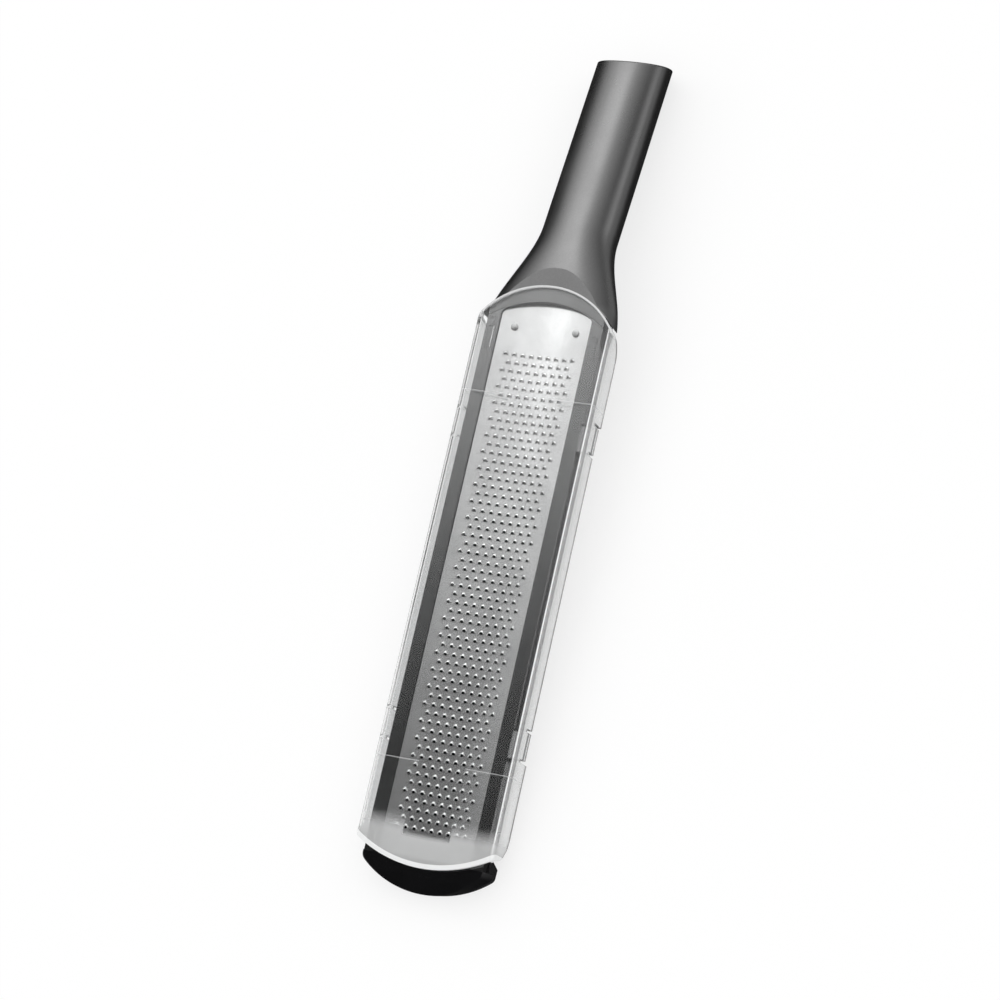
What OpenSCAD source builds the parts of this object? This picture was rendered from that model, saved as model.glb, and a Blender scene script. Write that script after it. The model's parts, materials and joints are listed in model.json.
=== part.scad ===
// Rasp zester with a snap-on clear cover, lying on its toe foot and its handle end.
// Lengths are in millimetres. Every piece is drawn in the blade's own frame, where
// x runs across the blade, +y runs from the first row of teeth to the handle, and
// z = 0 is the low line of the hollow blade. The module stance() then lays it down.

/* [Teeth] */
// Distance between teeth across the blade
tooth_pitch = 3.2; // [2.6:0.1:3.8]
// Distance between rows along the blade
row_pitch = 3.118; // [2.6:0.001:3.6]
// Number of rows
row_count = 57; // [21:2:65]
// Teeth in the longer rows
tooth_count = 9; // [7:1:11]
// Diameter of the hole at each tooth
tooth_hole_d = 1.1; // [0.8:0.05:1.4]

/* [Blade] */
// Thickness of the blade sheet
blade_t = 0.5; // [0.3:0.05:0.8]
// Radius of the hollow face across the blade
blade_curve_r = 90; // [75:1:140]
// Bare edge beside the longer rows
blade_edge_margin = 4.45; // [4:0.05:6]
// Bare sheet between the first row and the head end
blade_head_margin = 20.3; // [17:0.1:26]
// Bare sheet between the last row and the toe end
blade_toe_margin = 9.6; // [8:0.1:13]
// Plan radius of the blade's head end
blade_head_r = 36; // [30:0.5:60]
// Plan radius of the blade's corners
blade_corner_r = 2.5; // [1:0.1:4]

/* [Blade pins] */
// Diameter of a pin's shank
pin_d = 1.8; // [1.2:0.1:2.2]
// Length of a pin's shank below the blade's low line
pin_l = 2; // [1.5:0.1:2.2]
// Diameter of a pin's head
pin_head_d = 2.6; // [2.4:0.1:3.2]
// Height of a pin's head
pin_head_h = 0.35; // [0.2:0.05:0.5]
// Distance from the blade's edge to the middle of a pin
pin_inset = 5.45; // [4.6:0.05:6]
// Distance from the first row to the head pins
pin_head_y = 10.5; // [7:0.1:12]
// Distance from the last row to the toe pins
pin_toe_y = 3; // [2.8:0.1:4]

/* [Frame] */
// Width of a rail's top beside the blade
rail_w = 4.7; // [3.5:0.1:7]
// Height of a rail
rail_h = 5.4; // [5:0.1:8]
// Height of the rails' tops over the blade's low line
rail_rise = 2.6; // [2.5:0.05:3]
// Width of the ledge that carries the blade's edge
ledge_w = 2.65; // [1.5:0.05:3]
// How far the window reaches past the first and last row's holes
window_over = 0.65; // [0.3:0.05:0.9]
// Bare frame between the blade's toe end and the toe cap
toe_seam_rim = 0.6; // [0.4:0.1:3]

/* [Toe cap] */
// Length of the toe cap
toe_l = 11.3; // [10:0.1:16]
// How far the toe cap stands out past each side of the frame
toe_shoulder = 1.55; // [0.5:0.05:1.8]
// Plan radius of the toe's front
toe_front_r = 34.7; // [30:0.1:60]
// Plan radius of the toe's corners
toe_corner_r = 3.3; // [1.5:0.1:5]
// Length of the slope at the nose
nose_l = 5; // [2:0.1:6]
// Drop of the slope at the nose
nose_drop = 4.6; // [2:0.1:4.8]
// Width of the frame's tongue inside the toe cap
tongue_w = 32; // [26:0.5:34]
// Thickness of the tongue
tongue_t = 2.3; // [1.8:0.1:2.4]
// Length of the tongue
tongue_l = 6; // [5:0.1:6.2]
// Floor of the toe cap under the tongue
cap_floor = 1.8; // [1.6:0.1:2]

/* [Toe foot] */
// How far the foot's edge is set in under the toe cap
foot_inset = 1; // [0.5:0.1:1.3]
// Depth of the foot at its front edge
foot_h = 6.9; // [5:0.1:9]
// How far the foot reaches back under the frame
foot_back = 5.3; // [3:0.1:6]
// Number of grip grooves across the foot
foot_grooves = 3; // [1:1:3]
// Width of a grip groove
groove_w = 1.2; // [0.6:0.1:1.6]
// Depth of a grip groove
groove_deep = 0.8; // [0.4:0.1:1.5]

/* [Handle] */
// Width of the grip
handle_w = 28.7; // [27:0.1:32]
// Thickness of the grip
handle_t = 21.2; // [20:0.1:23]
// Length of the handle along its own axis
handle_l = 111.3; // [90:0.1:140]
// Slant of the handle's end, in degrees: its top is cut back and its belly runs on
end_slant = 28; // [0:1:32]
// Bend between the blade and the handle, in degrees
handle_bend = 12.7; // [11:0.1:15]
// Wall of the handle
handle_wall = 1.8; // [1.2:0.1:2]
// How far the neck's form stands out past each side of the frame, at its widest
neck_shoulder = 3; // [1:0.1:3.5]
// Distance ahead of the seam at which the neck is widest
shoulder_l = 10; // [8:0.5:12]
// Distance from the seam at which the neck has narrowed to the grip
flare_l = 32.5; // [30:0.5:45]
// Distance from the seam at which the belly is as deep as the grip
belly_l = 24; // [22:0.5:32]
// Depth of the neck below its axis at the seam
neck_low = 4.4; // [4.2:0.1:5.5]
// Drop of the handle's axis below the blade's low line, at the seam
axis_drop = 5.25; // [4.9:0.01:5.5]
// Inset of the rim at the handle's end
rim_r = 0.8; // [0.4:0.1:1.2]

/* [Tenon and core] */
// Width of the frame's tenon
tenon_w = 22; // [16:0.5:24]
// Thickness of the frame's tenon
tenon_t = 5; // [4:0.1:5.2]
// Height of the tenon's middle over the handle's axis
tenon_lift = 1.9; // [1.8:0.1:2.2]
// Length of the tenon past the seam
tenon_l = 27; // [25:0.5:32]
// Front wall of the handle, ahead of the core
front_wall = 4; // [3:0.1:5]
// Length of the core
core_l = 34; // [32:0.5:40]

/* [Screws] */
// Diameter of a neck screw
neck_screw_d = 3; // [2.5:0.1:3.5]
// Diameter of a neck screw's head
neck_head_d = 5.4; // [4.5:0.1:6]
// Height of a neck screw's head
neck_head_h = 1.6; // [1:0.1:1.8]
// Distance from the seam to the first neck screw
neck_screw_y = 12; // [11:0.5:14]
// Distance between the two neck screws
neck_screw_gap = 9; // [7.5:0.5:9.5]
// Diameter of a toe screw
toe_screw_d = 2.2; // [1.8:0.1:2.6]
// Diameter of a toe screw's head
toe_head_d = 4; // [3.2:0.1:4.4]
// Height of a toe screw's head
toe_head_h = 1; // [0.7:0.1:1.1]
// Distance between the two toe screws
toe_screw_gap = 18; // [12:0.5:20]

/* [End plug] */
// Length of the plug ahead of its slanted face
plug_l = 12; // [11:0.5:20]
// Face of the plug, below the handle's rim
plug_sink = 0.4; // [0.2:0.1:1]
// Wall of the plug
plug_wall = 2.6; // [2.2:0.1:3]
// Width of the seal ring, along the handle
seal_w = 2; // [1.5:0.1:3]
// Thickness of the seal ring
seal_t = 1.2; // [0.8:0.1:1.5]

/* [Cover] */
// Wall of the clear cover
cover_wall = 1.4; // [1:0.1:1.8]
// Gap between the frame's sides and the cover
cover_gap = 2.3; // [1.8:0.1:4]
// Gap between the rails' tops and the cover
cover_clear = 0.8; // [0.6:0.1:2]
// Outer radius along the cover's top edges
cover_edge_r = 2; // [1.9:0.1:3]
// Depth of the cover at its ends, over all
cover_depth = 12.6; // [12:0.1:14]
// How much higher the lower edge lies between the end parts
cover_mid_rise = 2.1; // [0.5:0.1:2.4]
// How far the cover reaches past the blade's head end
cover_head_over = 6.2; // [4:0.1:9]
// How far the cover reaches past the toe seam
cover_toe_over = 3.1; // [1:0.1:6]
// Plan radius of the cover's head end
cover_head_r = 31; // [30:0.5:60]
// Plan radius of the cover's toe end
cover_toe_r = 48; // [34:0.5:80]
// Radius of the cover's lower corners, seen from the side
cover_foot_r = 9; // [5:0.5:9.5]

/* [Cover tabs] */
// Length of a snap tab
tab_l = 12; // [8:0.5:16]
// Distance from the first row to the middle of the head tabs
tab_head_y = 27; // [20:0.5:40]
// Distance from the last row to the middle of the toe tabs
tab_toe_y = 35.4; // [20:0.1:50]
// Width of the slit at each end of a tab
slit_w = 1.2; // [0.8:0.1:2]
// Height of a slit
slit_h = 5; // [3:0.1:6]
// Height of a tab's nose
nose_h = 1.8; // [1.2:0.1:2]
// Length of a pad that rests over a rail
pad_l = 8; // [4:0.5:12]
// Width of such a pad
pad_w = 2; // [1:0.1:3]
// Distance from the first row to the fine line across the cover's head part
line_head_y = 15.9; // [10:0.1:19]
// Distance from the last row to the fine line across the cover's toe part
line_toe_y = 23.1; // [10:0.1:28]
// Width of a fine line
line_w = 0.3; // [0.2:0.05:0.5]
// Height of a fine line
line_h = 0.1; // [0.05:0.01:0.2]

/* [Fits] */
// Gap around the blade in its pocket
pocket_gap = 0.25; // [0.15:0.05:0.5]
// Gap under the blade and around a screw's or pin's shank
seat_gap = 0.05; // [0.03:0.01:0.1]
// Gap at the seam between frame and handle
seam_gap = 0.1; // [0.05:0.05:0.3]
// Gap around tenon, tongue, core, plug and screw heads
fit_gap = 0.1; // [0.05:0.05:0.2]
// Gap between the cover's pads or noses and the frame
cover_fit = 0.2; // [0.15:0.05:0.4]
// Gap between the cover's head end and the neck's shoulders
shoulder_gap = 0.3; // [0.2:0.05:0.6]

/* [Hidden] */
$fn = 64;

// Overrun of every cut
over = 1;
// Steps along a corner's arc, an end's arc and an oval ring
corner_steps = 5;
end_steps = 12;
oval_steps = 40;

// Blade
blade_w = (tooth_count - 1) * tooth_pitch + 2 * blade_edge_margin;
last_row = (row_count - 1) * row_pitch;
blade_toe = last_row + blade_toe_margin;
pin_x = blade_w / 2 - pin_inset;
pin_places = [for (side = [-1, 1], y = [pin_head_y, -last_row - pin_toe_y]) [side * pin_x, y]];

// Frame
frame_w = blade_w + 2 * (pocket_gap + rail_w);
frame_low = rail_rise - rail_h;
window_w = blade_w - 2 * ledge_w;
window_head = tooth_hole_d / 2 + window_over;
window_toe = last_row + window_head;
toe_seam = blade_toe + toe_seam_rim;
// Share of the way to the head pins at which the rails pass into the neck
rail_end_share = 0.5;
rail_end = pin_head_y * rail_end_share;

// Seam between frame and handle, an arc round the blade's head end
seam_y = blade_head_margin + 2 * pocket_gap;
seam_r = blade_head_r + 2 * pocket_gap;

// Toe
toe_tip = toe_seam + toe_l;
toe_w = frame_w + 2 * toe_shoulder;
foot_front = toe_tip - foot_inset;
tongue_low = frame_low + cap_floor;
toe_screw_y = -toe_seam - tongue_l / 2;
foot_low = frame_low - foot_h;

// Handle sections: superellipses, boxy at the rails and oval along the grip
oval_power = 2.3;
rail_power = 8;
neck_w = frame_w + 2 * neck_shoulder;
head_l = (seam_y - window_head) / cos(handle_bend);
head_low = head_l * sin(handle_bend) - axis_drop - frame_low;
head_rings = 5;
neck_rings = 10;
ring_us = concat(
    [for (i = [-head_rings : -1]) head_l * i / head_rings],
    [for (i = [0 : neck_rings]) flare_l * i / neck_rings]);
neck_screw_us = [neck_screw_y, neck_screw_y + neck_screw_gap];
tenon_low = tenon_lift - tenon_t / 2;
end_shear = tan(end_slant);
end_reach = end_shear * handle_t / 2;
plug_face = handle_l - plug_sink;
plug_back = plug_face - end_reach - plug_l;
seal_u = plug_back + plug_l / 2;

// Cover
cover_w = frame_w + 2 * (cover_gap + cover_wall);
cover_roof = rail_rise + cover_clear;
cover_top = cover_roof + cover_wall;
cover_low = cover_top - cover_depth;
cover_mid_low = cover_low + cover_mid_rise;
cover_head = blade_head_margin + cover_head_over;
cover_toe = toe_seam + cover_toe_over;
tab_ys = [-tab_head_y, -last_row + tab_toe_y];
tab_nose_top = frame_low - cover_fit;

function smooth(t) = let (c = max(0, min(1, t))) c * c * (3 - 2 * c);

// Height at x of a hollow face of radius r whose low line is at z = 0
function hollow(x, r) = r - sqrt(r * r - x * x);

function arc(cx, cy, r, from, to, steps) =
    [for (i = [0 : steps]) let (a = from + (to - from) * i / steps) [cx + r * cos(a), cy + r * sin(a)]];

// An end that bulges to tip with radius r, and meets sides w apart with a corner radius
function round_end(w, tip, r, corner) =
    let (cx = w / 2 - corner, rise = sqrt(pow(r - corner, 2) - cx * cx), turn = atan2(rise, cx))
    concat(
        arc(cx, tip - r + rise, corner, 0, turn, corner_steps),
        arc(0, tip - r, r, turn, 180 - turn, end_steps),
        arc(-cx, tip - r + rise, corner, 180 - turn, 180, corner_steps));

// A straight end at tip, with rounded corners
function square_end(w, tip, corner) = concat(
    arc(w / 2 - corner, tip - corner, corner, 0, 90, corner_steps),
    arc(corner - w / 2, tip - corner, corner, 90, 180, corner_steps));

function turned(points) = [for (p = points) -p];

function half_width(u) = neck_w / 2
    + (handle_w - neck_w) / 2 * smooth((u + shoulder_l) / (flare_l + shoulder_l));

function half_low(u) = u < 0
    ? neck_low + (head_low - neck_low) * smooth(-u / head_l)
    : neck_low + (handle_t / 2 - neck_low) * smooth(u / belly_l);

function power(u) = oval_power + (rail_power - oval_power) * smooth(-u / head_l);

function bent(v, p) = sign(v) * pow(abs(v), 2 / p);

// One ring of the handle at u along its axis, drawn in by inset
function ring(u, inset) = [for (j = [0 : oval_steps - 1])
    let (a = 360 * j / oval_steps, p = power(u), s = sin(a))
    [(half_width(u) - inset) * bent(cos(a), p), u,
        ((s > 0 ? handle_t / 2 : half_low(u)) - inset) * bent(s, p)]];

// A ring that slants as the handle's end does
function end_ring(u, inset) = [for (p = ring(u, inset)) [p[0], p[1] - end_shear * p[2], p[2]]];

// A closed solid through rings of equal size
module loft(rings) {
    n = len(rings[0]);
    last = len(rings) - 1;
    sides = [for (i = [0 : last - 1], j = [0 : n - 1])
        [i * n + j, i * n + (j + 1) % n, (i + 1) * n + (j + 1) % n, (i + 1) * n + j]];
    ends = [[for (j = [n - 1 : -1 : 0]) j], [for (j = [0 : n - 1]) last * n + j]];
    polyhedron(points = [for (r = rings, p = r) p], faces = concat(sides, ends));
}

// A stretch of the handle's form between two places on its axis, drawn in by inset
module stretch(from, to, inset) {
    inner = [for (u = ring_us) if (u > from && u < to) u];
    loft([for (u = concat([from], inner, [to])) ring(u, inset)]);
}

// From the handle's own axis to the blade's frame
module on_handle() {
    translate([0, seam_y, -axis_drop]) rotate([-handle_bend, 0, 0]) children();
}

// Everything lower than z, as wide and long as the object
module below(z) {
    span = 2 * (toe_tip + handle_l);
    translate([-span / 2, -span / 2, z - span]) cube(span);
}

// Upright prism over a plan outline
module prism(points, low, high) {
    translate([0, 0, low]) linear_extrude(height = high - low) polygon(points);
}

// Bar along x over a side outline of [y, z] points
module bar(points, w) {
    translate([-w / 2, 0, 0]) rotate([90, 0, 90]) linear_extrude(height = w) polygon(points);
}

// Upright cylinder on the seam's centre
module seam_column(r) {
    translate([0, seam_y - seam_r, frame_low - handle_t]) cylinder(r = r, h = 2 * handle_t + rail_h, $fn = 180);
}

// Long cylinder over the blade, round the centre of its hollow face
module hollow_column(r, past) {
    translate([0, seam_y + past, blade_curve_r]) rotate([90, 0, 0])
        cylinder(r = r, h = toe_tip + seam_y + 2 * past, $fn = 720);
}

function blade_plan(grow) = concat(
    round_end(blade_w + 2 * grow, blade_head_margin + grow, blade_head_r + grow, blade_corner_r + grow),
    turned(square_end(blade_w + 2 * grow, blade_toe + grow, blade_corner_r + grow)));

module blade_sheet() {
    intersection() {
        prism(blade_plan(0), -blade_t - over, rail_rise + over);
        difference() {
            hollow_column(blade_curve_r + blade_t, over);
            hollow_column(blade_curve_r, 2 * over);
        }
    }
}

module tooth_holes() {
    for (row = [0 : row_count - 1]) {
        count = tooth_count - row % 2;
        for (i = [0 : count - 1])
            translate([(i - (count - 1) / 2) * tooth_pitch, -row * row_pitch, -blade_t - over])
                cylinder(d = tooth_hole_d, h = blade_t + rail_rise + 2 * over, $fn = 16);
    }
}

module at_pins() {
    for (p = pin_places) translate([p[0], p[1], 0]) children();
}

module blade() {
    color([0.86, 0.86, 0.87]) difference() {
        blade_sheet();
        tooth_holes();
        at_pins() translate([0, 0, -pin_l]) cylinder(d = pin_d + 2 * seat_gap, h = pin_l + rail_rise);
    }
}

module blade_pins() {
    head_z = hollow(pin_x + pin_head_d / 2, blade_curve_r) + seat_gap;
    color([0.8, 0.8, 0.8]) at_pins() {
        translate([0, 0, -pin_l]) cylinder(d = pin_d, h = pin_l + head_z + pin_head_h);
        translate([0, 0, head_z]) cylinder(d = pin_head_d, h = pin_head_h);
    }
}

// Everything between the frame's two sides
module between_sides() {
    span = 2 * (toe_tip + handle_l);
    cube([frame_w, span, span], center = true);
}

// The frame's block between the rails and the handle
module frame_head() {
    intersection() {
        on_handle() stretch(-head_l, flare_l / neck_rings, 0);
        below(rail_rise);
        seam_column(seam_r - seam_gap);
        between_sides();
    }
}

module tenon(grow) {
    on_handle() translate([-tenon_w / 2 - grow, -front_wall, tenon_low - grow])
        cube([tenon_w + 2 * grow, front_wall + tenon_l + grow, tenon_t + 2 * grow]);
}

module tongue(grow) {
    translate([-tongue_w / 2 - grow, -toe_seam - tongue_l - grow, tongue_low - grow])
        cube([tongue_w + 2 * grow, tongue_l + toe_seam_rim + grow, tongue_t + 2 * grow]);
}

module at_toe_screws() {
    for (side = [-1, 1]) translate([side * toe_screw_gap / 2, toe_screw_y, frame_low]) children();
}

// Screws stand head down, and shank up from zero height
module screw(d, l, head_d, head_h) {
    cylinder(d = d, h = l);
    cylinder(d = head_d, h = head_h);
}

// Neck screws reach from just inside the neck's lower skin into the tenon
module neck_screw_set(gap) {
    on_handle() for (u = neck_screw_us)
        translate([0, u, -half_low(u) + handle_wall / 2])
            screw(neck_screw_d + 2 * gap, half_low(u) - handle_wall / 2 + tenon_lift,
                neck_head_d + 2 * gap, neck_head_h);
}

module neck_screws() {
    color([0.55, 0.55, 0.56]) neck_screw_set(0);
}

// Clear way for the heads, out through the neck's lower skin
module neck_screw_ways() {
    neck_screw_set(seat_gap);
    on_handle() for (u = neck_screw_us)
        translate([0, u, -half_low(u) - over])
            cylinder(d = neck_head_d + 2 * fit_gap, h = handle_wall / 2 + neck_head_h + over);
}

module toe_screws() {
    color([0.55, 0.55, 0.56]) at_toe_screws()
        screw(toe_screw_d, cap_floor + tongue_t / 2, toe_head_d, toe_head_h);
}

module frame() {
    color([0.2, 0.2, 0.21]) difference() {
        union() {
            translate([-frame_w / 2, -toe_seam, frame_low]) cube([frame_w, toe_seam + rail_end, rail_h]);
            frame_head();
            tenon(0);
            tongue(0);
        }
        intersection() {
            prism(blade_plan(pocket_gap), frame_low, rail_rise + over);
            hollow_column(blade_curve_r + blade_t + seat_gap, over);
        }
        translate([-window_w / 2, -window_toe, frame_low - rail_h])
            cube([window_w, window_toe + window_head, 3 * rail_h]);
        at_pins() translate([0, 0, -pin_l - seat_gap]) cylinder(d = pin_d + 2 * seat_gap, h = pin_l + rail_rise);
        neck_screw_set(seat_gap);
        at_toe_screws() cylinder(d = toe_screw_d + 2 * seat_gap, h = cap_floor + tongue_t / 2 + seat_gap);
    }
}

function toe_plan(back, inset) = concat(
    turned(round_end(toe_w - 2 * inset, toe_tip - inset, toe_front_r - inset, toe_corner_r - inset)),
    [[toe_w / 2 - inset, back], [inset - toe_w / 2, back]]);

module toe_cap() {
    color([0.03, 0.03, 0.03]) difference() {
        prism(toe_plan(-toe_seam, 0), frame_low, rail_rise);
        bar([[-toe_tip + 2 * nose_l, rail_rise + nose_drop], [-toe_tip - nose_l, rail_rise + nose_drop],
            [-toe_tip - nose_l, rail_rise - 2 * nose_drop]], toe_w + 2 * over);
        tongue(fit_gap);
        at_toe_screws() {
            cylinder(d = toe_screw_d + 2 * seat_gap, h = cap_floor + tongue_t);
            translate([0, 0, -over]) cylinder(d = toe_head_d + 2 * fit_gap, h = toe_head_h + over);
        }
    }
}

// Resting plane through the foot's front edge and the low point of the handle's end
end_low_u = handle_l - rim_r + end_reach;
end_low_y = seam_y + end_low_u * cos(handle_bend) - handle_t / 2 * sin(handle_bend);
end_low_z = -axis_drop - end_low_u * sin(handle_bend) - handle_t / 2 * cos(handle_bend);
rest_tilt = atan2(foot_low - end_low_z, end_low_y + foot_front);

function ground(y) = foot_low - (y + foot_front) * tan(rest_tilt);

module toe_foot() {
    back = -toe_seam + foot_back;
    slant = foot_back / 2;
    floor_l = toe_l - foot_inset + foot_back - slant;
    color([0.07, 0.07, 0.07]) difference() {
        intersection() {
            prism(toe_plan(back, foot_inset), foot_low - foot_h, frame_low);
            bar([[back, frame_low], [-toe_tip - over, frame_low], [-toe_tip - over, ground(-toe_tip - over)],
                [back - slant, ground(back - slant)]], toe_w + 2 * over);
        }
        for (i = [1 : foot_grooves]) {
            y = -foot_front + floor_l * i / (foot_grooves + 1);
            translate([-toe_w / 2 - over, y - groove_w / 2, ground(y) - foot_h])
                cube([toe_w + 2 * over, groove_w, foot_h + groove_deep]);
        }
    }
}

module handle_shell() {
    straight_l = handle_l - rim_r - end_reach - over;
    color([0.36, 0.37, 0.38]) difference() {
        intersection() {
            on_handle() {
                stretch(-3 * head_l / head_rings, straight_l, 0);
                loft([ring(straight_l, 0), end_ring(handle_l - rim_r, 0),
                    end_ring(handle_l - rim_r / 3, rim_r / 4), end_ring(handle_l, rim_r)]);
            }
            below(rail_rise);
        }
        seam_column(seam_r);
        shoulder_cut();
        intersection() {
            on_handle() stretch(front_wall, handle_l + end_reach + over, handle_wall);
            below(rail_rise - handle_wall);
        }
        tenon(fit_gap);
        neck_screw_ways();
    }
}

module handle_core() {
    color([0.75, 0.73, 0.68]) difference() {
        intersection() {
            on_handle() stretch(front_wall + fit_gap, front_wall + core_l, handle_wall + fit_gap);
            below(rail_rise - handle_wall - fit_gap);
        }
        tenon(fit_gap);
        neck_screw_ways();
    }
}

module end_plug() {
    inset = handle_wall + fit_gap;
    color([0.05, 0.05, 0.05]) on_handle() difference() {
        union() {
            stretch(plug_back, seal_u - seal_w / 2, inset);
            stretch(seal_u - seal_w / 2, seal_u + seal_w / 2, handle_wall + seal_t);
            loft([ring(seal_u + seal_w / 2, inset), end_ring(plug_face, inset)]);
        }
        loft([ring(plug_back - over, inset + plug_wall), end_ring(plug_face - plug_wall, inset + plug_wall)]);
    }
}

module plug_seal() {
    half = seal_w / 2 - seat_gap;
    color([0.6, 0.15, 0.1]) on_handle() difference() {
        stretch(seal_u - half, seal_u + half, handle_wall + seat_gap);
        stretch(seal_u - seal_w, seal_u + seal_w, handle_wall + seal_t - seat_gap);
    }
}

// Outline of the cover's walls and roof across the blade, as [x, z] points
function cover_section() =
    let (x = cover_w / 2, r = cover_edge_r, inner_r = cover_edge_r - cover_wall)
    concat(
        arc(x - r, cover_top - r, r, 0, 90, corner_steps),
        arc(r - x, cover_top - r, r, 90, 180, corner_steps),
        [[-x, cover_low - over], [cover_wall - x, cover_low - over]],
        arc(r - x, cover_top - r, inner_r, 180, 90, corner_steps),
        arc(x - r, cover_top - r, inner_r, 90, 0, corner_steps),
        [[x - cover_wall, cover_low - over], [x, cover_low - over]]);

// Where the side walls end, behind the round ends of the roof
cover_side_head = cover_head - hollow(cover_w / 2, cover_head_r);
cover_side_toe = cover_toe - hollow(cover_w / 2, cover_toe_r);

// Outline of the cover from the side, as [y, z] points
function cover_side() =
    let (r = cover_foot_r, from = tab_ys[0] + tab_l / 2, to = tab_ys[1] - tab_l / 2)
    concat(
        [[cover_head + over, cover_low + r], [cover_head + over, cover_top + over],
            [-cover_toe - over, cover_top + over], [-cover_toe - over, cover_low + r]],
        arc(r - cover_side_toe, cover_low + r, r, 180, 270, end_steps),
        [[to, cover_low], [to, cover_mid_low], [from, cover_mid_low], [from, cover_low]],
        arc(cover_side_head - r, cover_low + r, r, 270, 360, end_steps));

function cover_plan(grow) = concat(
    round_end(cover_w + 2 * grow, cover_head + grow, cover_head_r + grow, cover_wall + grow),
    turned(round_end(cover_w + 2 * grow, cover_toe + grow, cover_toe_r + grow, cover_wall + grow)));

// What the handle's form loses outside the frame's sides, to make room for the cover's head end
module shoulder_cut() {
    difference() {
        prism(cover_plan(shoulder_gap), frame_low - handle_t, cover_top);
        between_sides();
    }
}

module cover_slits() {
    for (side = [-1, 1], y = tab_ys, end = [-1, 1])
        translate([side * (cover_w - cover_wall) / 2, y + end * (tab_l - slit_w) / 2, cover_mid_low + slit_h / 2])
            cube([cover_wall + 2 * cover_edge_r, slit_w, slit_h], center = true);
}

module cover_noses() {
    reach = cover_gap - cover_fit + cover_wall / 2;
    for (side = [-1, 1], y = tab_ys)
        translate([side * (frame_w / 2 + cover_fit + reach / 2), y, tab_nose_top - nose_h / 2])
            cube([reach, tab_l - 2 * slit_w, nose_h], center = true);
}

module cover_pads() {
    pad_ys = [rail_end, -last_row - pin_toe_y];
    for (side = [-1, 1], y = pad_ys)
        translate([side * (frame_w - rail_w) / 2 - pad_w / 2, y - pad_l / 2, rail_rise + cover_fit])
            cube([pad_w, pad_l, cover_clear - cover_fit + cover_wall / 2]);
}

module cover_lines() {
    for (y = [-line_head_y, -last_row + line_toe_y])
        translate([cover_edge_r - cover_w / 2, y - line_w / 2, cover_top - line_h])
            cube([cover_w - 2 * cover_edge_r, line_w, 2 * line_h]);
}

module clear_cover() {
    color([0.85, 0.9, 0.92, 0.35]) {
        difference() {
            intersection() {
                translate([0, cover_head + over, 0]) rotate([90, 0, 0])
                    linear_extrude(height = cover_head + cover_toe + 2 * over) polygon(cover_section());
                prism(cover_plan(0), cover_low - 2 * over, cover_top + 2 * over);
                bar(cover_side(), cover_w + 2 * over);
            }
            cover_slits();
        }
        cover_noses();
        cover_pads();
        cover_lines();
    }
}

// How far back a point of the handle's end face, h over its axis, lies once the tool is laid down
function face_back(h) =
    let (u = handle_l - end_shear * h,
        y = seam_y + u * cos(handle_bend) + h * sin(handle_bend),
        z = -axis_drop - u * sin(handle_bend) + h * cos(handle_bend))
    y * cos(rest_tilt) - z * sin(rest_tilt);

// Laid on the resting plane, with the middle of its length at y = 0
end_half = handle_t / 2 - rim_r;
rest_front = -toe_tip * cos(rest_tilt) - (rail_rise - nose_drop) * sin(rest_tilt);
rest_back = max(face_back(-end_half), face_back(end_half));
rest_floor = -foot_front * sin(rest_tilt) + foot_low * cos(rest_tilt);

module stance() {
    translate([0, -(rest_front + rest_back) / 2, -rest_floor]) rotate([rest_tilt, 0, 0]) children();
}

stance() blade();
stance() blade_pins();
stance() frame();
stance() toe_cap();
stance() toe_screws();
stance() toe_foot();
stance() handle_shell();
stance() handle_core();
stance() neck_screws();
stance() end_plug();
stance() plug_seal();
stance() clear_cover();
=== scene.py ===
import json
import math

import bmesh
import bpy
from mathutils import Matrix, Vector


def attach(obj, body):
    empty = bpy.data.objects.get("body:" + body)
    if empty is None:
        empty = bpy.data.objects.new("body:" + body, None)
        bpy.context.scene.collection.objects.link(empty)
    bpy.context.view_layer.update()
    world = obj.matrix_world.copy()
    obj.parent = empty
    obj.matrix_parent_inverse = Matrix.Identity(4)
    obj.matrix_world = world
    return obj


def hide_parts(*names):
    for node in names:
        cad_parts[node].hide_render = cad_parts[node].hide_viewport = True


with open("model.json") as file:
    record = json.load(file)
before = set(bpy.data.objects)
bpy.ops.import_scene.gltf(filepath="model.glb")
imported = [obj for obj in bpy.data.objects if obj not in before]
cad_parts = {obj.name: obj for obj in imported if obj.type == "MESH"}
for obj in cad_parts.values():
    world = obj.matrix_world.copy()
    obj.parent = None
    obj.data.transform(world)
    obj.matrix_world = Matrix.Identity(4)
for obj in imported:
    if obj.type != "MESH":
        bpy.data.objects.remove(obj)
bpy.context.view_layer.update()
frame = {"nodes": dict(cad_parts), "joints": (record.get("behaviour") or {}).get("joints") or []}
scene = bpy.context.scene

# Every piece is made in the blade's own frame, in millimetres: x across, y from the
# first row of teeth to the handle, z = 0 on the low line of the hollow blade.
# layDown then puts it where the tool rests on its toe foot and its handle end.
mm = 0.001
stance = {"along": 29.7249, "lift": 28.3255}
lift = Vector(frame["joints"][0]["axis"])      # square to the blade
tilt = math.atan2(-lift.y, lift.z)
layDown = (Matrix.Translation((0, stance["along"] * mm, stance["lift"] * mm))
           @ Matrix.Rotation(tilt, 4, "X") @ Matrix.Scale(mm, 4))
weld = {"mesh": 0.002, "rim": 0.001, "tiles": 0.01}      # points nearer than this become one
flat = {"angle": 0.6, "upright": 0.9999, "level": 0.01}      # degrees, normal's z, millimetres


# Outlines and solids

def arcPoints(cx, cy, radius, start, end, steps):
    angles = [math.radians(start + (end - start) * i / steps) for i in range(steps + 1)]
    return [(cx + radius * math.cos(a), cy + radius * math.sin(a)) for a in angles]


def circlePoints(cx, cy, radius, sides):
    return arcPoints(cx, cy, radius, 0, 360 - 360 / sides, sides - 1)


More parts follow.
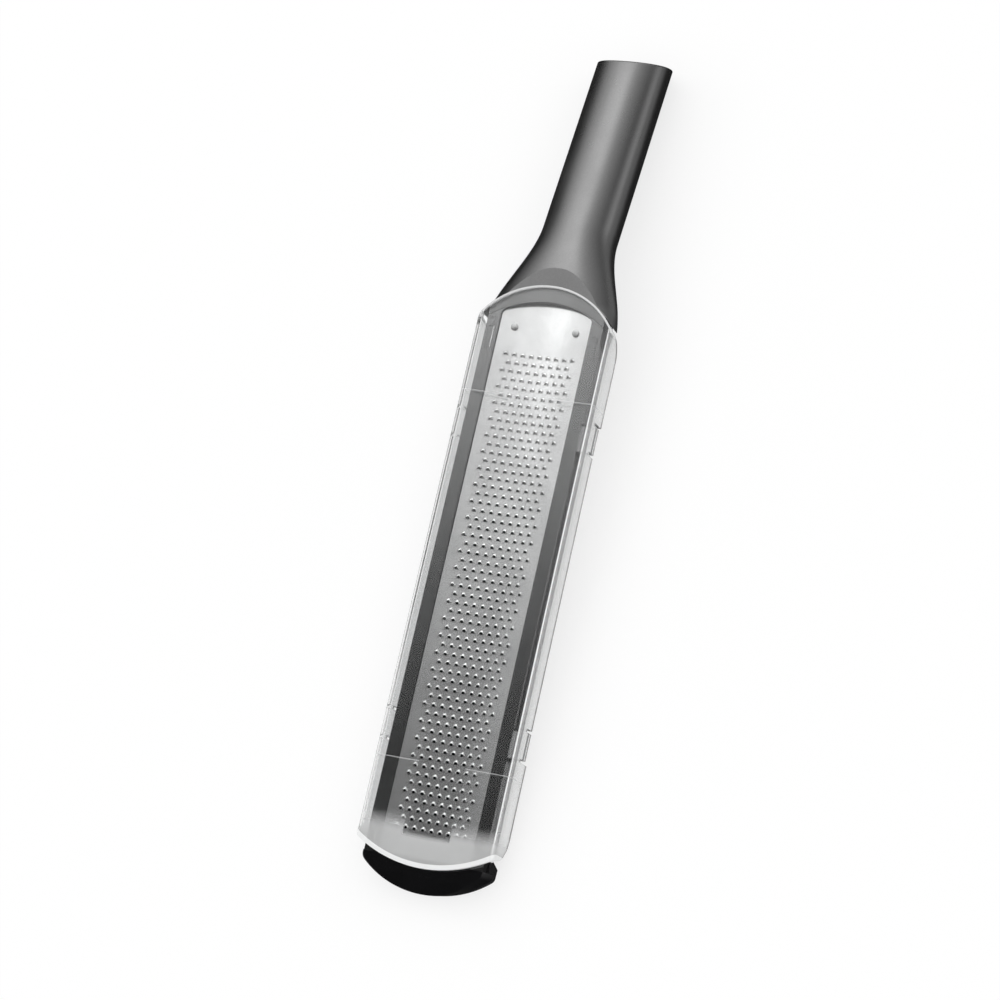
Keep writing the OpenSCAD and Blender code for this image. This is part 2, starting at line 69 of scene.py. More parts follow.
def quarterTurn(steps):
    return [math.radians(90 * k / steps) for k in range(steps + 1)]


def roundEnd(width, tip, radius, corner, cornerSteps=10, endSteps=32):
    cx = width / 2 - corner
    rise = math.sqrt((radius - corner) ** 2 - cx * cx)
    turn = math.degrees(math.atan2(rise, cx))
    cy = tip - radius + rise
    return (arcPoints(cx, cy, corner, 0, turn, cornerSteps)
            + arcPoints(0, tip - radius, radius, turn, 180 - turn, endSteps)[1:-1]
            + arcPoints(-cx, cy, corner, 180 - turn, 180, cornerSteps))


def smooth(t):
    t = max(0.0, min(1.0, t))
    return t * t * (3 - 2 * t)


def turned(points):
    return [(-x, -y) for x, y in points]


def hollow(x, radius):
    return radius - math.sqrt(radius * radius - x * x)


def newObject(name, mesh):
    piece = bpy.data.objects.new(name, mesh)
    scene.collection.objects.link(piece)
    return piece


def fromBmesh(name, bm):
    bmesh.ops.recalc_face_normals(bm, faces=bm.faces)
    mesh = bpy.data.meshes.new(name)
    bm.to_mesh(mesh)
    bm.free()
    return newObject(name, mesh)


def extruded(name, outline, travel):
    bm = bmesh.new()
    first = [bm.verts.new(p) for p in outline]
    second = [bm.verts.new(Vector(p) + Vector(travel)) for p in outline]
    count = len(outline)
    bm.faces.new(first)
    bm.faces.new(second)
    for i in range(count):
        j = (i + 1) % count
        bm.faces.new((first[i], first[j], second[j], second[i]))
    return fromBmesh(name, bm)


def prism(name, points, low, high):
    return extruded(name, [(x, y, low) for x, y in points], (0, 0, high - low))


def bar(name, points, width):       # side outline of (y, z) points
    return extruded(name, [(-width / 2, y, z) for y, z in points], (width, 0, 0))


def block(name, low, high):
    outline = [(low[0], low[1]), (high[0], low[1]), (high[0], high[1]), (low[0], high[1])]
    return prism(name, outline, low[2], high[2])


def loft(name, rings):
    bm = bmesh.new()
    rows = [[bm.verts.new(p) for p in ring] for ring in rings]
    count = len(rings[0])
    for a, b in zip(rows, rows[1:]):
        for i in range(count):
            j = (i + 1) % count
            bm.faces.new((a[i], a[j], b[j], b[i]))
    bm.faces.new(rows[0])
    bm.faces.new(rows[-1])
    return fromBmesh(name, bm)


def weldMesh(piece, flatten=False):
    bm = bmesh.new()
    bm.from_mesh(piece.data)
    bmesh.ops.remove_doubles(bm, verts=bm.verts, dist=weld["mesh"])
    if flatten:
        bmesh.ops.dissolve_limit(bm, angle_limit=math.radians(flat["angle"]), verts=bm.verts, edges=bm.edges)
    bm.to_mesh(piece.data)
    bm.free()


def settle(piece):      # bakes the modifiers into the mesh
    evaluated = piece.evaluated_get(bpy.context.evaluated_depsgraph_get())
    mesh = bpy.data.meshes.new_from_object(evaluated)
    piece.modifiers.clear()
    piece.data = mesh
    return piece


def carve(piece, *tools, operation="DIFFERENCE"):
    for tool in tools:
        modifier = piece.modifiers.new("carve", "BOOLEAN")
        modifier.solver = "MANIFOLD"
        modifier.operation = operation
        modifier.object = tool
    settle(piece)
    for tool in tools:
        bpy.data.objects.remove(tool)
    return piece


def join(piece, *others):
    return carve(piece, *others, operation="UNION")


def keep(piece, *others):
    return carve(piece, *others, operation="INTERSECT")


def soften(piece, width, segments, angle):
    weldMesh(piece, flatten=True)
    modifier = piece.modifiers.new("soften", "BEVEL")
    modifier.width = width
    modifier.segments = segments
    modifier.limit_method = "ANGLE"
    modifier.angle_limit = math.radians(angle)
    modifier.use_clamp_overlap = True
    modifier.harden_normals = False
    return settle(piece)


def flatTopEdges(mesh, height):      # edges between the flat top and what leans away from it
    kinds = {}
    for face in mesh.polygons:
        off = abs(mesh.vertices[face.vertices[0]].co.z - height)
        onTop = face.normal.z > flat["upright"] and off < flat["level"]
        for key in face.edge_keys:
            kinds.setdefault(key, set()).add(onTop)
    return [edge.index for edge in mesh.edges if len(kinds[edge.key]) == 2]


def finish(piece, body, material, replaced, smooth=30, flatTop=None, evenFlats=False):
    mesh = piece.data
    crisp = flatTopEdges(mesh, flatTop) if flatTop is not None else []
    if material:
        mesh.materials.clear()
        mesh.materials.append(material)
    mesh.transform(layDown)
    mesh.shade_smooth()
    mesh.set_sharp_from_angle(angle=math.radians(smooth))
    for index in crisp:
        mesh.edges[index].use_edge_sharp = True
    mesh.update()
    if evenFlats:
        weighted = piece.modifiers.new("evenFlats", "WEIGHTED_NORMAL")
        weighted.keep_sharp = True
        settle(piece)
    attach(piece, body)
    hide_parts(*replaced)
    return piece


# Nodes

def addNode(tree, kind, inputs=None, **settings):
    node = tree.nodes.new(kind)
    for key, value in settings.items():
        setattr(node, key, value)
    for key, value in (inputs or {}).items():
        if isinstance(value, bpy.types.NodeSocket):
            tree.links.new(value, node.inputs[key])
        else:
            node.inputs[key].default_value = value
    return node


def sums(tree, operation, *values):
    return addNode(tree, "ShaderNodeMath", dict(enumerate(values)), operation=operation).outputs[0]


def fade(tree, value, start, end, low=0.0, high=1.0):      # a soft step
    node = addNode(tree, "ShaderNodeMapRange", {
        "Value": value, "From Min": start, "From Max": end, "To Min": low, "To Max": high,
    }, interpolation_type="SMOOTHSTEP")
    return node.outputs["Result"]


def between(tree, factor, a, b):
    return addNode(tree, "ShaderNodeMix", {0: factor, 2: a, 3: b}, data_type="FLOAT").outputs[0]


def mixShaders(tree, factor, a, b):
    return addNode(tree, "ShaderNodeMixShader", {0: factor, 1: a, 2: b}).outputs[0]


def glow(tree, strength):
    return addNode(tree, "ShaderNodeEmission", {"Color": grey(1.0), "Strength": strength}).outputs[0]


def blendColours(tree, factor, a, b):
    node = addNode(tree, "ShaderNodeMix", {0: factor}, data_type="RGBA")
    for index, value in ((6, a), (7, b)):
        if isinstance(value, bpy.types.NodeSocket):
            tree.links.new(value, node.inputs[index])
        else:
            node.inputs[index].default_value = value
    return node.outputs[2]


def onTool(tree):       # millimetres in the blade's own frame
    coordinates = addNode(tree, "ShaderNodeTexCoord").outputs["Object"]
    mapping = addNode(tree, "ShaderNodeMapping", {
        "Vector": coordinates, "Location": (0, stance["along"] * mm, stance["lift"] * mm),
        "Rotation": (tilt, 0, 0), "Scale": (mm, mm, mm)}, vector_type="TEXTURE")
    return mapping.outputs["Vector"]


def noise(tree, place, scale, detail=2.0, rough=0.5, stretch=(1, 1, 1)):
    mapping = addNode(tree, "ShaderNodeMapping", {"Vector": place, "Scale": stretch})
    node = addNode(tree, "ShaderNodeTexNoise", {
        "Vector": mapping.outputs["Vector"], "Scale": scale, "Detail": detail, "Roughness": rough})
    return node.outputs["Fac"]


def bump(tree, height, distance, strength=1.0):
    node = addNode(tree, "ShaderNodeBump", {"Height": height, "Distance": distance, "Strength": strength})
    return node.outputs["Normal"]


def material(name):
    made = bpy.data.materials.new(name)
    made.use_nodes = True
    made.node_tree.nodes.clear()
    return made, made.node_tree


def output(tree, shader):
    addNode(tree, "ShaderNodeOutputMaterial", {"Surface": shader})


def grey(value):
    return (value, value, value, 1.0)


# Materials

steelLook = {"cloudScale": 0.06, "cloud": (0.35, 0.65), "darkest": 0.94, "palest": 1.04,
             "lineStretch": (14, 0.35, 14), "lineShare": 0.6, "speckScale": 6.0, "speckShare": 0.4,
             "roughSpread": 0.05, "depth": 0.004, "cut": (0.6, 0.5)}      # cut: lean of a cut edge, from where the painted shade starts to where it is full
coatLook = {"flakeScale": 4.5, "flakeRough": 0.7, "flake": (0.3, 0.75), "depth": 0.012, "bump": 0.6,
            "cloudScale": 0.05, "cloud": (0.3, 0.7), "roughSpread": 0.03}
plasticLook = {"grainRough": 0.6, "grain": (0.3, 0.7), "roughSpread": 0.04,
               "cloudScale": 0.08, "cloud": (0.3, 0.7), "darkest": 0.85, "palest": 1.15}


def steel(name, colour, rough, wall=None):      # wall: painted shade on the cut edges, so that the holes' walls read dark
    made, tree = material(name)
    place = onTool(tree)
    look = steelLook
    cloud = noise(tree, place, look["cloudScale"], detail=3.0)
    lines = noise(tree, place, 1.0, stretch=look["lineStretch"])
    speck = noise(tree, place, look["speckScale"])
    tone = blendColours(tree, fade(tree, cloud, *look["cloud"]),
                        grey(colour * look["darkest"]), grey(colour * look["palest"]))
    if wall is not None:
        # Painted shade: faces leaning far from the blade's face, the holes' walls and cut edges, get the
        # near-black wall tone
        facing = addNode(tree, "ShaderNodeNewGeometry").outputs["True Normal"]
        square = addNode(tree, "ShaderNodeVectorMath", {0: facing, 1: lift}, operation="DOT_PRODUCT")
        cutShade = fade(tree, sums(tree, "ABSOLUTE", square.outputs["Value"]), *look["cut"])
        tone = blendColours(tree, cutShade, tone, grey(wall))
    spread = look["roughSpread"]
    roughness = sums(tree, "ADD", rough - spread, sums(tree, "MULTIPLY", lines, 2 * spread))
    height = sums(tree, "ADD", sums(tree, "MULTIPLY", lines, look["lineShare"]),
                  sums(tree, "MULTIPLY", speck, look["speckShare"]))
    shader = addNode(tree, "ShaderNodeBsdfPrincipled", {
        "Base Color": tone, "Metallic": 1.0, "Roughness": roughness,
        "Normal": bump(tree, height, look["depth"] * mm)})
    output(tree, shader.outputs[0])
    return made


def satinMetal(name, colour, rough, speckle):      # dark coat with fine metal flake
    made, tree = material(name)
    place = onTool(tree)
    look = coatLook
    flake = noise(tree, place, look["flakeScale"], rough=look["flakeRough"])
    cloud = noise(tree, place, look["cloudScale"], detail=3.0)
    tone = blendColours(tree, fade(tree, flake, *look["flake"]),
                        grey(colour * (1 - speckle)), grey(colour * (1 + speckle)))
    roughness = fade(tree, cloud, *look["cloud"], rough - look["roughSpread"], rough + look["roughSpread"])
    shader = addNode(tree, "ShaderNodeBsdfPrincipled", {
        "Base Color": tone, "Metallic": 1.0, "Roughness": roughness,
        "Normal": bump(tree, flake, look["depth"] * mm, look["bump"])})
    output(tree, shader.outputs[0])
    return made


def plastic(name, colour, rough, grainScale=2.0, depth=0.01):
    made, tree = material(name)
    place = onTool(tree)
    look = plasticLook
    grain = noise(tree, place, grainScale, detail=3.0, rough=look["grainRough"])
    cloud = noise(tree, place, look["cloudScale"])
    tones = [[c * share for c in colour] + [1] for share in (look["darkest"], look["palest"])]
    tone = blendColours(tree, fade(tree, cloud, *look["cloud"]), *tones)
    roughness = fade(tree, grain, *look["grain"], rough - look["roughSpread"], rough + look["roughSpread"])
    shader = addNode(tree, "ShaderNodeBsdfPrincipled", {
        "Base Color": tone, "Roughness": roughness, "Normal": bump(tree, grain, depth * mm)})
    output(tree, shader.outputs[0])
    return made


def clearPlastic(name, spec):
    made, tree = material(name)
    place = onTool(tree)
    axes = addNode(tree, "ShaderNodeSeparateXYZ", {"Vector": place})
    across = sums(tree, "ABSOLUTE", axes.outputs["X"])
    along = axes.outputs["Y"]
    waves = noise(tree, place, spec["waveScale"])
    wave = sums(tree, "MULTIPLY", sums(tree, "SUBTRACT", waves, 0.5), spec["frostWave"])
    side = fade(tree, across, spec["sideFrom"], spec["sideFull"])
    # The frost starts further up at the sides than in the clear middle
    wavy = sums(tree, "ADD", along, wave)
    toe = sums(tree, "MAXIMUM", fade(tree, wavy, *spec["toeMiddle"]),
               sums(tree, "MULTIPLY", side, fade(tree, wavy, *spec["toeSides"])))
    strips = []
    for y in cover["lines"]:
        off = sums(tree, "ABSOLUTE", sums(tree, "SUBTRACT", along, y))
        strips.append(sums(tree, "LESS_THAN", off, cover["line"] / 2))
    strip = sums(tree, "MULTIPLY", sums(tree, "MAXIMUM", *strips), side)
    strip = sums(tree, "MULTIPLY", strip, spec["lineHaze"])
    # Painted highlight: milky bands along both round ends, by distance from each end's centre
    onPlan = addNode(tree, "ShaderNodeCombineXYZ", {"X": axes.outputs["X"], "Y": along}).outputs[0]
    rimHighlights = []
    for (centre, start, full, level), half in zip(spec["rimHighlights"], ("GREATER_THAN", "LESS_THAN")):
        away = addNode(tree, "ShaderNodeVectorMath", {0: onPlan, 1: (0, centre, 0)}, operation="DISTANCE")
        rimHighlights.append(sums(tree, "MULTIPLY", fade(tree, away.outputs["Value"], start, full, 0.0, level),
                         sums(tree, half, along, centre)))
    rim = sums(tree, "MAXIMUM", sums(tree, "MAXIMUM", *rimHighlights), strip)
    wall = fade(tree, across, spec["wallStart"], spec["wallFull"], 0.0, spec["wallHaze"])
    frost = sums(tree, "MAXIMUM", sums(tree, "MULTIPLY", side, spec["sideHaze"]),
                 sums(tree, "MULTIPLY", toe, spec["toeHaze"]))
    haze = sums(tree, "MAXIMUM", sums(tree, "MAXIMUM", rim, wall), frost)
    blur = sums(tree, "MAXIMUM", sums(tree, "MULTIPLY", side, spec["sideRough"]),
                sums(tree, "MULTIPLY", toe, spec["frostRough"]))
    grain = noise(tree, place, spec["grainScale"], detail=3.0, rough=0.6)
    clear = addNode(tree, "ShaderNodeBsdfPrincipled", {
        "Base Color": spec["colour"], "Roughness": sums(tree, "ADD", spec["clearRough"], blur),
        "IOR": spec["ior"], "Transmission Weight": 1.0,
        "Normal": bump(tree, sums(tree, "MULTIPLY", grain, toe), spec["grain"] * mm)})
    milky = addNode(tree, "ShaderNodeBsdfPrincipled", {
        "Base Color": spec["frostColour"], "Roughness": spec["milkRough"]})
    hazy = mixShaders(tree, haze, clear.outputs[0], milky.outputs[0])
    # Lamp light reaches the blade through the clear wall, a little dimmed
    path = addNode(tree, "ShaderNodeLightPath")
    through = addNode(tree, "ShaderNodeBsdfTransparent", {"Color": spec["shadowColour"]})
    output(tree, mixShaders(tree, path.outputs["Is Shadow Ray"], hazy, through.outputs[0]))
    return made


# wall=0.03 is the painted shade on the blade's cut edges and hole walls
bladeSteel = steel("bladeSteel", 0.84, 0.22, wall=0.03)
pinSteel = steel("pinSteel", 0.5, 0.34)
screwSteel = steel("screwSteel", 0.5, 0.3)
frameCoat = satinMetal("frameCoat", 0.2, 0.13, 0.3)
handleCoat = satinMetal("handleCoat", 0.2, 0.3, 0.12)
toeGloss = plastic("toeGloss", (0.003, 0.003, 0.0035), 0.12, 1.2, 0.002)
footRubber = plastic("footRubber", (0.014, 0.014, 0.015), 0.45, 3.0, 0.02)
plugPlastic = plastic("plugPlastic", (0.012, 0.012, 0.013), 0.42, 2.5, 0.02)
corePlastic = plastic("corePlastic", (0.55, 0.52, 0.47), 0.5)
sealRubber = plastic("sealRubber", (0.35, 0.05, 0.03), 0.5)


# Blade

blade = {"width": 34.5, "head": 20.3, "toe": 184.208, "headRadius": 36.0, "corner": 2.5,
         "thickness": 0.5, "curve": 90.0, "headParts": 10, "sideParts": 4}      # parts: faces of the rim
teeth = {"pitch": 3.2, "step": 3.118, "rows": 57, "wide": 9, "overhang": 0.05,
         "rings": ((0.57, 0.26), (0.78, 0.2), (1.02, 0.0)),      # radius and height of a hood
         "hoodStart": -0.55, "hoodFull": 0.15, "hoodAhead": 0.2}


def toothTile():
    halfX, halfY = teeth["pitch"] / 2, teeth["step"] / 2
    square = [(1, 0), (1, .5), (1, 1), (.5, 1), (0, 1), (-.5, 1), (-1, 1), (-1, .5),
              (-1, 0), (-1, -.5), (-1, -1), (-.5, -1), (0, -1), (.5, -1), (1, -1), (1, -.5)]
    count = len(square)
    bm = bmesh.new()
    rings = []
    for number, (radius, height) in enumerate(teeth["rings"]):
        ring = []
        for i in range(count):
            angle = 2 * math.pi * i / count
            c, s = math.cos(angle), math.sin(angle)
            hood = smooth((s - teeth["hoodStart"]) / (teeth["hoodFull"] - teeth["hoodStart"]))
            lip = number == 0
            z = height * hood
            ahead = -teeth["overhang"] if lip else number * teeth["hoodAhead"] / 2
            ring.append(bm.verts.new((radius * c, radius * s + ahead * max(0.0, s), z)))
        rings.append(ring)
    rings.append([bm.verts.new((x * halfX, y * halfY, 0)) for x, y in square])
    for a, b in zip(rings, rings[1:]):
        for i in range(count):
            j = (i + 1) % count
            bm.faces.new((a[i], b[i], b[j], a[j]))
    mesh = bpy.data.meshes.new("toothTile")
    bm.to_mesh(mesh)
    bm.free()
    return newObject("toothTile", mesh)


def headEdge(x):
    cx = blade["width"] / 2 - blade["corner"]
    inner = blade["headRadius"] - blade["corner"]
    centreY = blade["head"] - blade["headRadius"]
    if abs(x) <= blade["headRadius"] * cx / inner:
        return centreY + math.sqrt(blade["headRadius"] ** 2 - x * x)
    cornerY = centreY + math.sqrt(inner * inner - cx * cx)
    return cornerY + math.sqrt(max(0.0, blade["corner"] ** 2 - (abs(x) - cx) ** 2))


def toeEdge(x):
    cx = blade["width"] / 2 - blade["corner"]
    if abs(x) <= cx:
        return -blade["toe"]
    return blade["corner"] - blade["toe"] - math.sqrt(max(0.0, blade["corner"] ** 2 - (abs(x) - cx) ** 2))


def bladeRim():     # the bare sheet round the field of teeth, on the tiles' own lines
    half = teeth["wide"] * teeth["pitch"] / 2
    quarter = teeth["pitch"] / 4
    cx = blade["width"] / 2 - blade["corner"]
    edge = [cx + blade["corner"] * math.sin(turn) for turn in quarterTurn(5)]
    field = [-half + quarter * i for i in range(4 * teeth["wide"] + 1)]
    lines = [-x for x in reversed(edge)] + field + edge
    bm = bmesh.new()

    def strip(xs, lows, highs, steps):
        grid = [[bm.verts.new((x, low + (high - low) * k / steps, 0)) for k in range(steps + 1)]
                for x, low, high in zip(xs, lows, highs)]
        for a, b in zip(grid, grid[1:]):
            for k in range(steps):
                bm.faces.new((a[k], b[k], b[k + 1], a[k + 1]))

    top = teeth["step"] / 2
    bottom = -(teeth["rows"] - 0.5) * teeth["step"]
    strip(lines, [top] * len(lines), [headEdge(x) for x in lines], blade["headParts"])
    strip(lines, [toeEdge(x) for x in lines], [bottom] * len(lines), blade["sideParts"])
    for row in range(teeth["rows"]):
        inner = half - (teeth["pitch"] / 2 if row % 2 else 0)
        high = top - row * teeth["step"]
        side = [x for x in lines if x >= inner - weld["rim"]]
        for xs in (side, [-x for x in reversed(side)]):
            strip(xs, [high - teeth["step"]] * len(xs), [high] * len(xs), blade["sideParts"])
    bmesh.ops.remove_doubles(bm, verts=bm.verts, dist=weld["rim"])
    mesh = bpy.data.meshes.new("bladeRim")
    bm.to_mesh(mesh)
    bm.free()
    return newObject("bladeRim", mesh)


def inputs(tree, values):      # named inputs of a node group, and their sockets' identifiers
    kinds = {float: "NodeSocketFloat", int: "NodeSocketInt"}
    found = {}
    for name, value in values.items():
        kind = kinds.get(type(value), "NodeSocketMaterial" if isinstance(value, bpy.types.Material)
                         else "NodeSocketObject")
        found[name] = tree.interface.new_socket(name, in_out="INPUT", socket_type=kind).identifier
    return found


def nodeGroup(name):
    tree = bpy.data.node_groups.new(name, "GeometryNodeTree")
    tree.interface.new_socket("Geometry", in_out="INPUT", socket_type="NodeSocketGeometry")
    tree.interface.new_socket("Geometry", in_out="OUTPUT", socket_type="NodeSocketGeometry")
    return tree


def runNodes(piece, tree, identifiers, values):
    modifier = piece.modifiers.new(tree.name, "NODES")
    modifier.node_group = tree
    for name, value in values.items():
        modifier[identifiers[name]] = value
    return settle(piece)


def toothField(values):     # rows of tooth tiles, every second row shifted and one tile shorter
    tree = nodeGroup("toothField")
    found = inputs(tree, values)
    given = addNode(tree, "NodeGroupInput").outputs
    index = addNode(tree, "GeometryNodeInputIndex").outputs[0]
    row = sums(tree, "FLOOR", sums(tree, "DIVIDE", index, given["Teeth"]))
    column = sums(tree, "SUBTRACT", index, sums(tree, "MULTIPLY", row, given["Teeth"]))
    odd = sums(tree, "MODULO", row, 2.0)
    middle = sums(tree, "DIVIDE", sums(tree, "SUBTRACT", given["Teeth"], 1.0), 2.0)
    shifted = sums(tree, "ADD", sums(tree, "SUBTRACT", column, middle), sums(tree, "DIVIDE", odd, 2.0))
    spot = addNode(tree, "ShaderNodeCombineXYZ", {
        "X": sums(tree, "MULTIPLY", shifted, given["Pitch"]),
        "Y": sums(tree, "MULTIPLY", sums(tree, "MULTIPLY", row, given["Step"]), -1.0)})
    points = addNode(tree, "GeometryNodePoints", {
        "Count": sums(tree, "MULTIPLY", given["Teeth"], given["Rows"]), "Position": spot.outputs[0]})
    # The last point of each odd row lies past the field
    spare = sums(tree, "MULTIPLY", odd, sums(tree, "COMPARE", column,
                 sums(tree, "SUBTRACT", given["Teeth"], 1.0), 0.1))
    trimmed = addNode(tree, "GeometryNodeDeleteGeometry", {
        "Geometry": points.outputs[0], "Selection": spare}, domain="POINT")
    tiles = addNode(tree, "GeometryNodeInstanceOnPoints", {
        "Points": trimmed.outputs[0], "Instance": given["Geometry"]})
    rim = addNode(tree, "GeometryNodeObjectInfo", {"Object": given["Rim"]})
    together = addNode(tree, "GeometryNodeJoinGeometry")
    tree.links.new(rim.outputs["Geometry"], together.inputs[0])
    tree.links.new(tiles.outputs[0], together.inputs[0])
    real = addNode(tree, "GeometryNodeRealizeInstances", {0: together.outputs[0]})
    merged = addNode(tree, "GeometryNodeMergeByDistance", {
        "Geometry": real.outputs[0], "Distance": weld["tiles"]})
    # Bends the flat sheet onto the hollow face
    place = addNode(tree, "GeometryNodeInputPosition").outputs[0]
    x = addNode(tree, "ShaderNodeSeparateXYZ", {0: place}).outputs["X"]
    radius = given["Curve"]
    root = sums(tree, "SQRT", sums(tree, "SUBTRACT", sums(tree, "MULTIPLY", radius, radius),
                                   sums(tree, "MULTIPLY", x, x)))
    rise = addNode(tree, "ShaderNodeCombineXYZ", {"Z": sums(tree, "SUBTRACT", radius, root)})
    bent = addNode(tree, "GeometryNodeSetPosition", {
        "Geometry": merged.outputs[0], "Offset": rise.outputs[0]})
    painted = addNode(tree, "GeometryNodeSetMaterial", {
        "Geometry": bent.outputs[0], "Material": given["Finish"]})
    addNode(tree, "NodeGroupOutput", {0: painted.outputs[0]})
    return tree, found


def makeBlade():
    rim = bladeRim()
    sheet = toothTile()
    sheet.name = "bladeSheet"
    values = {"Teeth": teeth["wide"], "Rows": teeth["rows"], "Pitch": teeth["pitch"],
              "Step": teeth["step"], "Curve": blade["curve"], "Rim": rim, "Finish": bladeSteel}
    tree, found = toothField(values)
    runNodes(sheet, tree, found, values)
    bpy.data.objects.remove(rim)
    thick = sheet.modifiers.new("sheet", "SOLIDIFY")
    thick.thickness = blade["thickness"]
    thick.offset = -1
    settle(sheet)
    return finish(sheet, "tool", None, ["blade"], smooth=18)


makeBlade()
print("blade made")


# Pins, set out by one node group

def setOut(piece, columns, rows, across, along, material):
    values = {"Columns": columns, "Rows": rows, "Across": across, "Along": along, "Finish": material}
    tree = nodeGroup("setOut")
    found = inputs(tree, values)
    given = addNode(tree, "NodeGroupInput").outputs
    index = addNode(tree, "GeometryNodeInputIndex").outputs[0]
    row = sums(tree, "FLOOR", sums(tree, "DIVIDE", index, given["Columns"]))
    column = sums(tree, "SUBTRACT", index, sums(tree, "MULTIPLY", row, given["Columns"]))
    centred = sums(tree, "SUBTRACT", column,
                   sums(tree, "DIVIDE", sums(tree, "SUBTRACT", given["Columns"], 1.0), 2.0))
    spot = addNode(tree, "ShaderNodeCombineXYZ", {
        "X": sums(tree, "MULTIPLY", centred, given["Across"]),
        "Y": sums(tree, "MULTIPLY", row, given["Along"])})
    points = addNode(tree, "GeometryNodePoints", {
        "Count": sums(tree, "MULTIPLY", given["Columns"], given["Rows"]), "Position": spot.outputs[0]})
    copies = addNode(tree, "GeometryNodeInstanceOnPoints", {
        "Points": points.outputs[0], "Instance": given["Geometry"]})
    real = addNode(tree, "GeometryNodeRealizeInstances", {0: copies.outputs[0]})
    painted = addNode(tree, "GeometryNodeSetMaterial", {
        "Geometry": real.outputs[0], "Material": given["Finish"]})
    addNode(tree, "NodeGroupOutput", {0: painted.outputs[0]})
    return runNodes(piece, tree, found, values)


def turnedBody(name, profile, steps=32):        # (radius, height) points turned about z
    bm = bmesh.new()
    rings = []
    for radius, height in profile:
        if radius == 0:
            rings.append([bm.verts.new((0, 0, height))])
        else:
            ring = circlePoints(0, 0, radius, steps)
            rings.append([bm.verts.new((x, y, height)) for x, y in ring])
    for a, b in zip(rings, rings[1:]):
        for i in range(steps):
            j = (i + 1) % steps
            corners = [a[i % len(a)], a[j % len(a)], b[j % len(b)], b[i % len(b)]]
            bm.faces.new(list(dict.fromkeys(corners)))
    return fromBmesh(name, bm)


pins = {"across": 23.6, "head": 10.5, "toe": -177.608, "shank": 0.9, "depth": 2.0,
        "headRadius": 1.3, "headHeight": 0.35, "seat": 0.05, "dome": 0.12}


def makePins():
    foot = hollow(pins["across"] / 2 + pins["headRadius"], blade["curve"]) + pins["seat"]
    top = foot + pins["headHeight"]
    r = pins["headRadius"]
    rounding = arcPoints(r - pins["dome"], top - pins["dome"], pins["dome"], 0, 90, 3)
    profile = [(0, -pins["depth"]), (pins["shank"], -pins["depth"]), (pins["shank"], foot), (r, foot)]
    piece = turnedBody("bladePins", profile + rounding + [(0, top)])
    setOut(piece, 2, 2, pins["across"], pins["toe"] - pins["head"], pinSteel)
    piece.data.transform(Matrix.Translation((0, pins["head"], 0)))
    return finish(piece, "tool", None, ["blade_pins"])


makePins()
print("pins made")


# Cover

cover = {"wall": 1.4, "width": 51.8, "top": 4.8, "low": -7.8, "midLow": -5.7, "edge": 2.0,
         "head": 26.5, "toe": 187.908, "headRadius": 31.0, "toeRadius": 48.0, "foot": 9.0,
         "tab": 12.0, "tabs": (-27.0, -139.208), "slit": 1.2, "slitHeight": 5.0, "slitDepth": 3.0,
         "nose": 1.8, "noseTop": -3.0, "noseReach": 22.4,
         "padSpan": (18.85, 20.85), "padHeights": (2.8, 4.1), "padLength": 8.0, "pads": (5.25, -177.608),
         "lines": (-15.9, -151.508), "line": 0.25, "lineHeight": 0.05, "lineFrom": 8.8, "round": 0.22}
# A rim highlight: its end's centre, where the painted highlight starts and is full by distance from there,
# and its level
coverLook = {"colour": (0.985, 0.99, 0.99, 1), "ior": 1.49, "clearRough": 0.02, "frostRough": 0.17,
             "sideRough": 0.13, "sideHaze": 0.004, "sideFrom": 8.6, "sideFull": 9.1,
             "frostColour": (0.93, 0.935, 0.935, 1), "shadowColour": (0.93, 0.94, 0.94, 1),
             "waveScale": 0.09, "frostWave": 1.6, "milkRough": 0.5,
             "toeMiddle": (-175.8, -178.4), "toeSides": (-169.5, -177.5), "toeHaze": 0.36,
             "wallStart": 24.4, "wallFull": 25.4, "wallHaze": 0.2, "lineHaze": 0.3,
             "rimHighlights": ((-4.5, 30.1, 30.5, 0.6), (-139.908, 46.1, 46.5, 0.85)),
             "grainScale": 3.0, "grain": 0.003}


def coverSection():
    x, r, inner = cover["width"] / 2, cover["edge"], cover["edge"] - cover["wall"]
    z, low = cover["top"] - cover["edge"], cover["low"] - 1
    return (arcPoints(x - r, z, r, 0, 90, 10) + arcPoints(r - x, z, r, 90, 180, 10)
            + [(-x, low), (cover["wall"] - x, low)]
            + arcPoints(r - x, z, inner, 180, 90, 6) + arcPoints(x - r, z, inner, 90, 0, 6)
            + [(x - cover["wall"], low), (x, low)])


def coverSide():
    r, low, above = cover["foot"], cover["low"], 8
    head = cover["head"] - hollow(cover["width"] / 2, cover["headRadius"])
    toe = cover["toe"] - hollow(cover["width"] / 2, cover["toeRadius"])
    start, end = cover["tabs"][0] + cover["tab"] / 2, cover["tabs"][1] - cover["tab"] / 2
    return ([(cover["head"] + 1, low + r), (cover["head"] + 1, above), (-cover["toe"] - 1, above),
             (-cover["toe"] - 1, low + r)]
            + arcPoints(r - toe, low + r, r, 180, 270, 20)
            + [(end, low), (end, cover["midLow"]), (start, cover["midLow"]), (start, low)]
            + arcPoints(head - r, low + r, r, 270, 360, 20))


def coverPlan(grow):
    width, corner = cover["width"] + 2 * grow, cover["wall"] + grow
    return (roundEnd(width, cover["head"] + grow, cover["headRadius"] + grow, corner)
            + turned(roundEnd(width, cover["toe"] + grow, cover["toeRadius"] + grow, corner)))


def sideBlock(name, side, spans, middle, width, heights):      # side -1 mirrors it across
    low, high = sorted(side * x for x in spans)
    return block(name, (low, middle - width / 2, heights[0]), (high, middle + width / 2, heights[1]))


